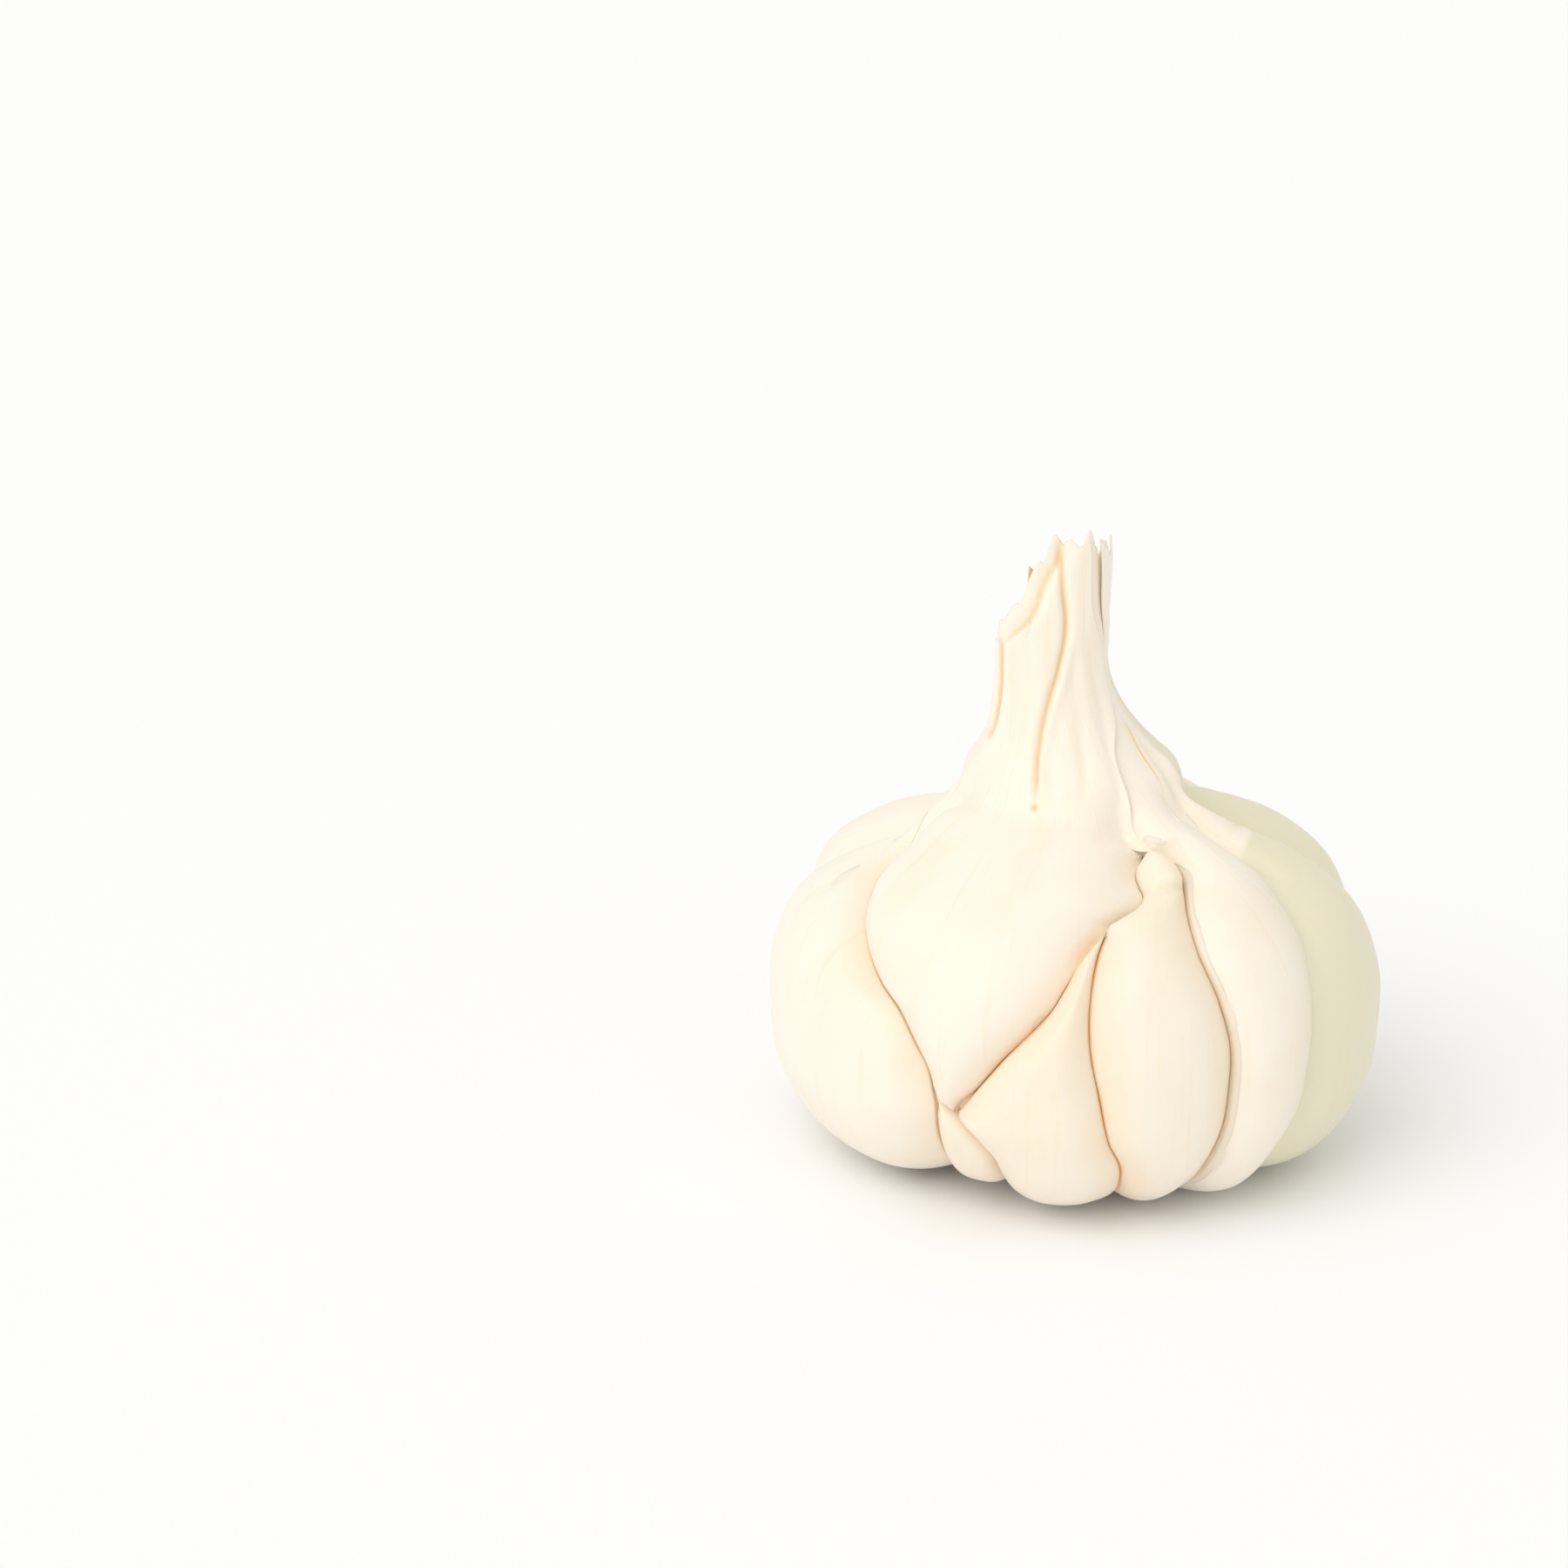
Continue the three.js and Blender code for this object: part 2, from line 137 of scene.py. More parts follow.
# %% Seams and cloves
B, T = -57, 67  # latitudes of the cloves' bases and tips
SEAMS = {
    "left_main": [
        (-7.5, -27.5), (-3, -28.6), (1, -31), (8, -37), (12, -43.5), (18, -52), (24, -60), (36, -71),
        (52, -73),
        (T, -60),
    ],
    "sliver_main": [(-10, -21.8), (-7.5, -27.5)],
    "main_front": [(-10, -21.8), (-3, -16.5), (3, -12), (12, -4), (17, -1), (24, 3), (31, 10)],
    "main_nub": [(31, 10), (35, 19), (38, 22.5), (41, 22.8), (44, 23.2), (47, 24.8), (50, 28), (51, 30.5)],
    "main_right": [(51, 30.5), (58, 28), (T, 22)],
    "front_nub": [(B, 12), (-40, 12), (-20, 11), (-13, 8), (-4, 6), (6, 4), (15, 4), (24, 6), (31, 10)],
    "nub_right": [
        (B, 28), (-40, 29), (-22, 31), (-10, 32.5), (3, 33), (13, 31.5), (22, 30), (31, 32), (37, 35.5),
        (41, 38), (45, 38.5), (49, 35.5), (51, 30.5)
    ],
    "left_sliver": [(B, -28), (-40, -28), (-20, -27.5), (-11, -27), (-7.5, -27.5)],
    "sliver_front": [(B, -14), (-40, -13), (-20, -14.5), (-14, -18), (-10, -21.8)],
    "right_flank": [
        (B, 45), (-40, 45), (-20, 47), (-10, 50), (2, 52), (15, 55), (27, 59), (40, 60), (54, 57), (T, 52)
    ],
    "flank_rear1": [(B, 90), (-30, 93), (0, 97), (25, 96), (46, 92), (T, 84)],
    "rear1_rear2": [(B, 127), (-30, 130), (-5, 133), (25, 134), (46, 130), (T, 122)],
    "rear2_rear3": [(B, 176), (-30, 175), (0, 172), (25, 173), (46, 175), (T, 170)],
    "rear3_rear4": [(B, 218), (-30, 216), (0, 212), (25, 210), (46, 212), (T, 216)],
    "rear4_left": [(B, 258), (-30, 256), (-5, 256), (20, 260), (44, 264), (T, 268)],
}
# For each clove: the seams down its left and right sides, how far it stands out, how deep each
# side dips and over what width, how much its middle swells, and how round its ends are, in mm.
CLOVES = {
    "main": (
        ["sliver_main", "left_main"], ["main_front", "main_nub", "main_right"],
        0, (2.6, 2.4), (8.5, 10), 0.8, 3,
    ),
    "front": (["sliver_front", "main_front"], ["front_nub"], 0.1, (1.9, 1.3), (3.6, 4.0), 0.7, 2),
    "nub": (["front_nub", "main_nub"], ["nub_right"], 0, (1.5, 2.2), (3.2, 6.5), 0.5, 1.7),
    "sliver": (["left_sliver"], ["sliver_front", "sliver_main"], -1.8, (1.5, 1.8), (2.4, 2.4), 0.2, 3),
    "left": (["-rear4_left"], ["left_sliver", "left_main"], -0.4, (4.6, 2.6), (9.5, 8), 0.9, 6),
    "right": (["nub_right", "main_right"], ["right_flank"], 0.3, (1.5, 0.9), (2.6, 8), 0.7, 4),
    "flank": (["right_flank"], ["flank_rear1"], 0, (1.0, 4.4), (8, 9), 0.8, 6),
    "rear1": (["flank_rear1"], ["rear1_rear2"], -0.2, (4.4, 4.4), (8.5, 8.5), 0.8, 6),
    "rear2": (["rear1_rear2"], ["rear2_rear3"], 0, (4.4, 4.4), (9, 9), 0.9, 6),
    "rear3": (["rear2_rear3"], ["rear3_rear4"], -0.3, (4.4, 4.4), (8.5, 8.5), 0.8, 6),
    "rear4": (["rear3_rear4"], ["rear4_left"], 0, (4.4, 4.6), (9, 9), 0.9, 6),
}
SEAM_GAP = 0.03
print(len(CLOVES), "cloves between", len(SEAMS), "seams")


# %% Reading a clove off the map
def side_at(names, latitude):
    """Azimuth of one side of a clove, and how it leans there."""
    azimuth, lean = None, None
    for name in names:
        line, turn = SEAMS[name.strip("-")], -360 if name.startswith("-") else 0
        here = along(line, latitude) + turn
        tilt = along(line, latitude + 0.5) - along(line, latitude - 0.5)
        if azimuth is None:
            azimuth, lean = here, tilt
        else:
            azimuth = np.where(latitude > line[0][0], here, azimuth)
            lean = np.where(latitude > line[0][0], tilt, lean)
    return azimuth, lean


def ends_of(clove):
    """Where a clove ends: where its seams meet, or just before, once it would be a sliver."""
    low, top = SEAMS[clove[0][0].strip("-")][0][0], SEAMS[clove[0][-1].strip("-")][-1][0]

    def thin(latitude):
        wide = along(REACH, latitude) * DEG * np.cos(latitude * DEG)
        return (side_at(clove[1], latitude)[0] - side_at(clove[0], latitude)[0]) * wide < 0.4

    while low < 0 and thin(low):
        low += 0.25
    while top > 0 and thin(top):
        top -= 0.25
    return low, top


ENDS = {name: ends_of(clove) for name, clove in CLOVES.items()}
print("cloves end at latitudes", {k: tuple(round(float(x), 1) for x in v) for k, v in ENDS.items()})


def slice_of(name, latitude, open_top=False):
    """Middle azimuth, half width in degrees, mm per degree, mm to the nearer end, roundness, reach."""
    left_names, right_names, _, _, _, _, end_round = CLOVES[name]
    low, top = ENDS[name]
    whole = along(REACH, latitude)
    wide = whole * DEG * np.cos(latitude * DEG)
    left, left_lean = side_at(left_names, latitude)
    right, right_lean = side_at(right_names, latitude)
    turn = np.cos(latitude * DEG)
    left = left + SEAM_GAP / 2 * np.hypot(1, left_lean * turn) / wide
    right = right - SEAM_GAP / 2 * np.hypot(1, right_lean * turn) / wide
    end = (latitude - low) if open_top else np.minimum(latitude - low, top - latitude)
    end = end * whole * DEG
    ease = np.sqrt(1 - (1 - np.clip(end / end_round, 0, 1)) ** 2)
    half = np.maximum((right - left) / 2 * ease, 1e-4)
    return (left + right) / 2, half, wide, end, ease, whole


def skin_of(name, cut, share):
    """Reach of a clove's skin at a share across it, from -1 at its left to 1, and mm to its seam."""
    _, _, lift, depth, width, dome, _ = CLOVES[name]
    middle, half, wide, end, ease, whole = cut
    side = (share + 1) / 2
    depth = depth[0] + (depth[1] - depth[0]) * side
    width = width[0] + (width[1] - width[0]) * side
    near = [(1 + share) * half * wide, (1 - share) * half * wide, end]
    inward = sum(np.maximum(d, 1e-4) ** -4.0 for d in near) ** -0.25
    near = 1 - np.clip(inward / width, 0, 1)
    dip = 0.78 * near**2 + 0.22 * (1 - np.sqrt(1 - near**2))
    return whole + lift - depth * dip - dome * share**2, inward


def relief(name, azimuth, latitude, open_top=False):
    """How far a clove stands above the outer line, and nothing (-5) where it isn't."""
    low, top = ENDS[name]
    cut = slice_of(name, latitude, open_top)
    off = (azimuth - cut[0] + 180) % 360 - 180
    share = off / cut[1]
    high = skin_of(name, cut, np.clip(share, -1, 1))[0] - cut[5]
    if open_top:
        return high
    inside = (np.abs(share) < 1) & (latitude > low) & (latitude < top)
    return np.where(inside, high, -5.0)


# %% [markdown]
# ## A leaf stretched over the cloves
# A papery leaf clings to the cloves but spans the grooves between them, as cling film would. This
# is worked out as for a real membrane: every point moves to the mean of its neighbours and a
# little inwards, but never below the cloves, over and over until it rests.

# %% The membrane
AZ, LAT = np.arange(0.0, 360, 1), np.arange(-60.0, 90, 1)
map_az, map_lat = np.meshgrid(AZ, LAT)
ground = np.full(map_az.shape, -5.0)
for name in CLOVES:
    ground = np.maximum(ground, relief(name, map_az, map_lat))
ground = np.where(map_lat > 60, np.maximum(ground, -0.1 * (90 - map_lat)), ground)
INWARD_PULL = 0.035
membrane = np.maximum(ground, -2.0)
for _ in range(260):
    padded = np.pad(np.pad(membrane, ((0, 0), (1, 1)), mode="wrap"), ((1, 1), (0, 0)), mode="edge")
    mean = (padded[1:-1, :-2] + padded[1:-1, 2:] + padded[:-2, 1:-1] + padded[2:, 1:-1]) / 4
    membrane = np.maximum(ground, mean - INWARD_PULL)
for _ in range(3):
    padded = np.pad(np.pad(membrane, ((0, 0), (1, 1)), mode="wrap"), ((1, 1), (0, 0)), mode="edge")
    membrane = (padded[1:-1, :-2] + padded[1:-1, 2:] + padded[:-2, 1:-1] + padded[2:, 1:-1]) / 4
print("membrane from", round(float(membrane.min()), 2), "to", round(float(membrane.max()), 2), "mm")


def on_membrane(azimuth, latitude):
    """The membrane's height at any place, through its four rows and columns nearest."""
    x = azimuth % 360
    y = np.clip(latitude - LAT[0], 1, len(LAT) - 3)
    i, j = np.floor(x).astype(int), np.floor(y).astype(int)
    s, t = x - i, y - j

    def weights(u):
        return [
            (-u + 2 * u**2 - u**3) / 2,
            (2 - 5 * u**2 + 3 * u**3) / 2,
            (u + 4 * u**2 - 3 * u**3) / 2,
            (-(u**2) + u**3) / 2,
        ]

    total = 0
    for b, v in enumerate(weights(t)):
        for a, u in enumerate(weights(s)):
            total = total + u * v * membrane[j + b - 1, (i + a - 1) % len(AZ)]
    return total


# %% Placing points
def toward(azimuth, latitude, reach):
    """Points in mm in a direction from the heart."""
    a, l = azimuth * DEG, latitude * DEG
    return np.stack(
        [reach * np.cos(l) * np.sin(a), -reach * np.cos(l) * np.cos(a), HEART + reach * np.sin(l)], axis=-1
    )


def vertices_of(mesh):
    flat = np.empty(len(mesh.vertices) * 3)
    mesh.vertices.foreach_get("co", flat)
    return flat.reshape(-1, 3)


def set_vertices(mesh, points_mm):
    mesh.vertices.foreach_set("co", (points_mm * MM).astype(np.float32).ravel())
    mesh.update()


def note(mesh, name, values):
    """Keeps a number or a vector for each point, for the material to read."""
    kind, key = ("FLOAT_VECTOR", "vector") if np.ndim(values) == 2 else ("FLOAT", "value")
    field = mesh.attributes.new(name, kind, "POINT")
    field.data.foreach_set(key, np.ravel(values).astype(np.float32))


def add_piece(name, mesh, node, material):
    """A finished piece in the scene, with smooth shading, riding on the bulb."""
    mesh.name = name
    piece = bpy.data.objects.new(name, mesh)
    bpy.context.scene.collection.objects.link(piece)
    mesh.polygons.foreach_set("use_smooth", np.ones(len(mesh.polygons), bool))
    mesh.materials.append(material)
    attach(piece, "root")
    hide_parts(node)
    return piece


# %% [markdown]
# ## Materials
# Clove skin and papery leaf are thin, dry and slightly see-through: light goes in, spreads and
# comes out softly, which subsurface scattering gives. A warm tint beside the seams is painted
# shade of the valleys, the seams dry brown, fine veins run from base to tip, and old creases dry brown.

# %% Node helpers
def shade(name, roughness, scatter, sheen=0.0):
    """A new material's nodes, links and shader."""
    material = bpy.data.materials.new(name)
    material.use_nodes = True
    nodes, links = material.node_tree.nodes, material.node_tree.links
    shader = nodes["Principled BSDF"]
    shader.inputs["Roughness"].default_value = roughness
    shader.inputs["Subsurface Weight"].default_value = scatter
    shader.inputs["Subsurface Radius"].default_value = (1.0, 0.62, 0.34)
    shader.inputs["Subsurface Scale"].default_value = 2.2 * MM
    shader.inputs["Specular IOR Level"].default_value = 0.35
    shader.inputs["Sheen Weight"].default_value = sheen
    return material, nodes, links, shader


def attribute(nodes, name):
    node = nodes.new("ShaderNodeAttribute")
    node.attribute_name = name
    return node


def noise(nodes, links, vector, scale, detail=3.0, stretch=(1, 1, 1)):
    """Noise, drawn out along an axis where its stretch is small."""
    mapping = nodes.new("ShaderNodeMapping")
    mapping.inputs["Scale"].default_value = stretch
    links.new(vector, mapping.inputs["Vector"])
    node = nodes.new("ShaderNodeTexNoise")
    node.inputs["Scale"].default_value = scale
    node.inputs["Detail"].default_value = detail
    links.new(mapping.outputs["Vector"], node.inputs["Vector"])
    return node.outputs["Fac"]


def remap(nodes, links, value, low, high, to_low=0.0, to_high=1.0):
    node = nodes.new("ShaderNodeMapRange")
    node.interpolation_type = "SMOOTHSTEP"
    node.inputs["From Min"].default_value = low
    node.inputs["From Max"].default_value = high
    node.inputs["To Min"].default_value = to_low
    node.inputs["To Max"].default_value = to_high
    links.new(value, node.inputs["Value"])
    return node.outputs["Result"]


def combine(nodes, links, how, a, b):
    node = nodes.new("ShaderNodeMath")
    node.operation = how
    for socket, value in zip(node.inputs, (a, b)):
        if isinstance(value, (int, float)):
            socket.default_value = value
        else:
            links.new(value, socket)
    return node.outputs["Value"]


def tint(nodes, links, base, colour, amount):
    """Base colour, turned to another colour by an amount from 0 to 1."""
    node = nodes.new("ShaderNodeMix")
    node.data_type = "RGBA"
    links.new(amount, node.inputs["Factor"])
    for socket, value in ((node.inputs["A"], base), (node.inputs["B"], colour)):
        if isinstance(value, tuple):
            socket.default_value = (*value, 1)
        else:
            links.new(value, socket)
    return node.outputs["Result"]


def bump(nodes, links, shader, height, strength, distance):
    node = nodes.new("ShaderNodeBump")
    node.inputs["Strength"].default_value = strength
    node.inputs["Distance"].default_value = distance
    links.new(height, node.inputs["Height"])
    links.new(node.outputs["Normal"], shader.inputs["Normal"])


# %% Skin and leaf colours
CREAM = (0.955, 0.87, 0.745)
# painted shade: the warm, darker tone laid beside the seams, where the skin curves down into the valleys
WARM_VALLEY_SHADE = (0.92, 0.72, 0.50)
BROWN = (0.93, 0.55, 0.24)
STRAW = (0.86, 0.66, 0.38)
# the greener flank's own colour, also laid in a broad ramp as painted shade towards the right
GREENISH = (0.82, 0.775, 0.585)


def skin_material(name, base, warm, veins, warm_amount=0.35, scatter=0.30, depth=2.2):
    """Papery skin: soft blotches, fine veins along it, painted warm shade near its seams and brown in them.
    """
    material, nodes, links, shader = shade(name, 0.42, scatter, 0.08)
    shader.inputs["Subsurface Scale"].default_value = depth * MM
    stain_and_shade = attribute(nodes, "stain_and_shade").outputs["Fac"]
    grain = attribute(nodes, "grain").outputs["Vector"]
    seam = attribute(nodes, "seam").outputs["Fac"]
    crease = attribute(nodes, "crease").outputs["Fac"]
    blotch = noise(nodes, links, grain, 0.16, 2.0, (1, 0.6, 1))
    vein = noise(nodes, links, grain, 1.7, 3.0, (1, 0.035, 1))
    patch = noise(nodes, links, grain, 0.55, 2.0, (1, 0.35, 1))
    warmth = combine(nodes, links, "MULTIPLY", remap(nodes, links, blotch, 0.42, 0.72), warm_amount)
    colour = tint(nodes, links, base, warm, warmth)
    # the greener flank's own tint, whose broad ramp also paints shade towards the right
    colour = tint(nodes, links, colour, GREENISH, attribute(nodes, "green_and_shade").outputs["Fac"])
    line = combine(nodes, links, "MULTIPLY", remap(nodes, links, vein, 0.56, 0.72), veins)
    colour = tint(nodes, links, colour, STRAW, line)
    # painted shade: a warm band up to 4.5 mm wide beside each seam, scaled by the stain there, darkens the
    # skin where it dips into the valley
    near = combine(nodes, links, "MULTIPLY", remap(nodes, links, seam, 4.5, 0.1), 0.42)
    colour = tint(nodes, links, colour, WARM_VALLEY_SHADE, combine(nodes, links, "MULTIPLY", near, stain_and_shade))
    broken = remap(nodes, links, patch, 0.30, 0.62, 0.25, 1)
    edge = combine(nodes, links, "MULTIPLY", remap(nodes, links, seam, 0.30, 0.06), broken)
    colour = tint(nodes, links, colour, BROWN, combine(nodes, links, "MULTIPLY", edge, stain_and_shade))
    colour = tint(nodes, links, colour, STRAW, remap(nodes, links, crease, 0.1, 0.9, 0, 0.62))
    colour = tint(nodes, links, colour, BROWN, remap(nodes, links, crease, 0.75, 1.5, 0, 0.75))
    links.new(colour, shader.inputs["Base Color"])
    bump(nodes, links, shader, combine(nodes, links, "ADD", vein, patch), 0.25, 0.12 * MM)
    return material


clove_skin = skin_material("clove_skin", CREAM, (0.94, 0.80, 0.60), 0.10)
paper = skin_material("papery_leaf", (0.96, 0.885, 0.77), (0.94, 0.80, 0.61), 0.14, scatter=0.12, depth=0.2)
print("skin materials:", [m.name for m in (clove_skin, paper)])

# %% [markdown]
# ## Cloves
# A clove is a crescent with a broad back: its outside is part of the round bulb, and its sides
# narrow to an edge at the middle. A ball has the same make-up, a front, a back and two ends, so each
# clove starts as one: its poles go to the clove's ends and its front half becomes the outer skin.
# The skin dries brown where two cloves pinch it, more on some sides than on others, and the same
# shares set how strong the warm painted shade beside each seam is.

# %% Make the cloves
CORE = 5.0  # how near the heart a clove's inner edge comes, mm
# how brown the skin has dried along each clove's left and right side, which also sets the painted shade
# beside it
STAINED_AND_SHADED = {
    "main": (0.5, 0.5), "front": (0.9, 0.8), "nub": (1, 1), "sliver": (0.8, 0.5), "left": (0.2, 0.6),
    "right": (0.1, 0), "flank": (0, 0.2),
}


def clove_mesh(name, seed, around=120, up=110):
    shape = bmesh.new()
    bmesh.ops.create_uvsphere(shape, u_segments=around, v_segments=up, radius=1)
    mesh = bpy.data.meshes.new(name)
    shape.to_mesh(mesh)
    shape.free()
    x, y, z = vertices_of(mesh).T
    low, top = ENDS[name]
    margin = SEAM_GAP / 2 / (along(REACH, low) * DEG)
    latitude = low + margin + (top - low - 2 * margin) * (z + 1) / 2
    cut = slice_of(name, latitude)
    flat = np.hypot(x, y)
    share = np.where(flat < 1e-6, 0, x / np.maximum(flat, 1e-9))
    reach, inward = skin_of(name, cut, share)
    azimuth = cut[0] + share * cut[1]
    bend = 0.22 * uneven(azimuth * 0.5, latitude * 0.5, 0, 9, seed) * smooth(0.2, 3, inward)
    reach = reach + bend - 0.15 * smooth(0.2, 3, inward)
    if name == "nub":  # its tip is a round knob, set off from the body by a crease on its left
        waist = np.exp(-(((latitude - 37.6) / 1.1) ** 2)) * (1 - smooth(-0.3, 0.8, share))
        reach = reach + (0.6 * smooth(37.5, 40.5, latitude) - 0.5 * waist) * smooth(0, 1.2, inward)
    rim, _ = skin_of(name, cut, np.ones_like(share))
    left_rim, _ = skin_of(name, cut, -np.ones_like(share))
    rim = left_rim + (rim - left_rim) * (share + 1) / 2
    deep = np.sqrt(np.clip(1 - share**2, 0, 1)) ** 0.8 * cut[4]
    reach = np.where(y > 1e-6, rim + (CORE - rim) * deep, reach)
    reach = reach + lopsided(azimuth, latitude) * smooth(8, 20, reach)
    set_vertices(mesh, toward(azimuth, latitude, reach))
    stain_left, stain_right = STAINED_AND_SHADED.get(name, (0.3, 0.3))
    # stain along each side: it sets both the dried brown of the seam and the warm painted shade beside it
    stain_and_shade = stain_left + (stain_right - stain_left) * smooth(-0.4, 0.4, share)
    if name == "nub":
        stain_and_shade = stain_and_shade * (1 - smooth(22, 32, latitude) * (1 - smooth(-0.4, 0.4, share)))
    note(mesh, "seam", np.where(y > 1e-6, 0.1 + 6 * deep, inward))
    note(mesh, "stain_and_shade", stain_and_shade * smooth(-44, -24, latitude))
    note(mesh, "crease", np.zeros(len(x)))
    across, along_it = azimuth * cut[2], latitude * cut[5] * DEG
    note(mesh, "grain", np.stack([across, along_it, np.full(len(x), 9.0 * seed)], -1))
    return mesh


for number, name in enumerate(CLOVES):
    mesh = clove_mesh(name, number + 3)
    fixed = bmesh.new()
    fixed.from_mesh(mesh)
    bmesh.ops.recalc_face_normals(fixed, faces=fixed.faces)
    fixed.to_mesh(mesh)
    fixed.free()
    add_piece(f"{name}_clove_skin", mesh, f"{name}_clove", clove_skin)
print(len(CLOVES), "cloves made")

# %% [markdown]
# ## Papery leaves
# Each leaf is one sheet, narrow at the neck and broad over the cloves. A flat grid is bent into
# place: across it runs from its left edge to its right edge, and up it runs from the torn lower
# edge to the ragged top. Low down a leaf clings to its clove and its edge tucks into the seam;
# higher up it rides on the membrane. Creases are drawn on it as lines with a depth, and a Solidify
# modifier gives the sheet its thickness.

# %% Creases
def crease_lines(lines, station, azimuth, radius):
    """Height in mm from a list of (line, depth, width in mm, brownness), and how brown they are."""
    height, brown = np.zeros_like(station), np.zeros_like(station)
    for line, depth, width, colour in lines:
        off = (azimuth - along(line, station)) * DEG * radius
        first, last = line[0][0], line[-1][0]
        fade = smooth(first - 1, first + 5, station) * (1 - smooth(last - 2, last + 2, station))
        near = np.exp(-((off / width) ** 2)) * fade
        shoulder = np.exp(-(((off - 1.8 * width) / (1.6 * width)) ** 2)) * fade
        height = height - depth * near + 0.45 * depth * shoulder
        brown = np.maximum(brown, colour * np.exp(-((off / (0.62 * width)) ** 2)) * fade)
    return height, brown


# %% One leaf
RIGHT_FLARE = 1.25  # how far the neck's top opens towards its right, mm
# one flank stayed greener, from these azimuths on, and the broad ramp into it is painted shade
# darkening the cream towards the right; the notch is where a flake of leaf has torn off
GREEN_FROM = [
    (-60, 45), (-40, 46), (0, 50), (15, 53), (27, 56), (36, 60), (41, 65), (44, 80), (46, 72), (51, 77),
    (60, 84), (75, 98), (100, 110),
]


def leaf_mesh(name, leaf, across=150, up=230):
    """A flat grid bent over the membrane, between the leaf's edges, with its creases and notes."""
    shape = bmesh.new()
    shape.loops.layers.uv.new("UVMap")
    bmesh.ops.create_grid(shape, x_segments=across, y_segments=up, size=0.5, calc_uvs=True)
    mesh = bpy.data.meshes.new(name)
    shape.to_mesh(mesh)
    shape.free()
    x, y, _ = vertices_of(mesh).T
    u, v = x + 0.5, y + 0.5
    ragged = leaf.get("ragged", 0.6) * uneven(u * 30, 0, 0, 4.5, leaf["seed"])
    ragged = ragged + 0.35 * leaf.get("ragged", 0.6) * uneven(u * 30, 0, 0, 1.6, leaf["seed"] + 1)
    low = along(leaf["low"], u) + leaf.get("torn", 0) * uneven(u * 30, 0, 0, 5, leaf["seed"] + 2)
    station = low + (along(leaf["top"], u) + ragged * 1.6 - low) * v
    left, right = along(leaf["left"], station), along(leaf["right"], station)
    azimuth = left + (right - left) * u
    wavy = 0.5 * uneven(station * 0.5, 0, 0, 6, leaf["seed"] + 3) * smooth(20, 40, station)
    azimuth = azimuth + wavy * (np.abs(u - 0.5) * 2) ** 4
    radius, height = along(BULB_LINE, station, 1), along(BULB_LINE, station, 2)
    ahead = along(BULB_LINE, station + 0.5, 1), along(BULB_LINE, station + 0.5, 2)
    behind = along(BULB_LINE, station - 0.5, 1), along(BULB_LINE, station - 0.5, 2)
    out_r, out_z = ahead[1] - behind[1], behind[0] - ahead[0]
    size = np.maximum(np.hypot(out_r, out_z), 1e-9)
    out_r, out_z = out_r / size, out_z / size
    latitude = np.arctan2(height - HEART, radius) / DEG
    whole = np.hypot(radius, height - HEART)
    rise = on_membrane(azimuth, latitude)
    to_edge = np.minimum(azimuth - left, right - azimuth) * radius * DEG
    tucked = (1 - smooth(0.8, 4.5, to_edge)) * (1 - smooth(58, 70, station))
    for clove, until in leaf.get("hugs", {}).items():
        own = relief(clove, azimuth, latitude, open_top=True)
        clinging = 1 - smooth(until - 8, until + 8, latitude)
        if leaf.get("tucks_right"):
            clinging = np.maximum(clinging, tucked * (1 - smooth(50, 57, station)) * smooth(0.5, 0.8, u))
        rise = rise + (own - rise) * clinging
    rise = rise * (1 - smooth(56, T, latitude))
    swell = lopsided(azimuth, latitude)
    deep, brown = crease_lines(leaf.get("creases", []), station, azimuth, radius)
    for place, turn, size, colour in leaf.get("spots", []):
        away = np.hypot((station - place) * 0.5, (azimuth - turn) * DEG * radius)
        brown = np.maximum(brown, colour * np.exp(-((away / size) ** 2)))
    soft = 0.16 * uneven(azimuth * radius * DEG, station * 0.3, 0, 5, leaf["seed"] + 4)
    neck = smooth(52, 76, station)
    lifted = leaf["off"][0] + (leaf["off"][1] - leaf["off"][0]) * smooth(14, 44, station)
    lifted = lifted * (1 - 0.75 * tucked)
    off = lifted + (leaf["off"][2] - lifted) * neck + deep + soft * smooth(30, 60, station)
    points = toward(azimuth, latitude, whole + rise + swell)
    a = azimuth * DEG
    points = points + np.stack([np.sin(a) * out_r * off, -np.cos(a) * out_r * off, out_z * off], -1)
    points[:, 0] += along(BULB_LINE, station, 3)
    flare = leaf.get("flare", 0) * smooth(88, 100, station) ** 2
    at_right = smooth(-10, 60, azimuth) * (1 - smooth(130, 170, azimuth))
    flare = flare + RIGHT_FLARE * at_right * smooth(84, 98, station)
    points[:, 0] += np.sin(a) * flare
    points[:, 1] -= np.cos(a) * flare
    set_vertices(mesh, points)
    edge = np.minimum(to_edge, (station - low) * 0.5)
    note(mesh, "seam", np.maximum(edge, 0) + 4 * smooth(20, 52, station))
    # stain along each edge: dried brown at the edge and warm painted shade beside it
    stain_left, stain_right = leaf.get("stained_and_shaded", (0.2, 0.2))
    stain_and_shade = stain_left + (stain_right - stain_left) * smooth(0.3, 0.7, u)
    note(mesh, "stain_and_shade", stain_and_shade * smooth(-44, -24, station))
    note(mesh, "crease", np.maximum(brown, smooth(88, 102, station) * 0.3))
    greener = along(GREEN_FROM, station)
    # the flank's own greener tint, and a broad ramp into it, about 13 degrees wide, that is painted shade
    # darkening the cream towards the right
    green_and_shade = 0.65 * smooth(-9, 4, azimuth - greener) + 0.35 * smooth(0, 1.2, azimuth - greener)
    note(mesh, "green_and_shade", green_and_shade * (1 - smooth(118, 150, azimuth)))
    note(mesh, "grain", np.stack([azimuth * 0.35, station * 0.5, np.full(len(u), 11.0 * leaf["seed"])], -1))
    return mesh


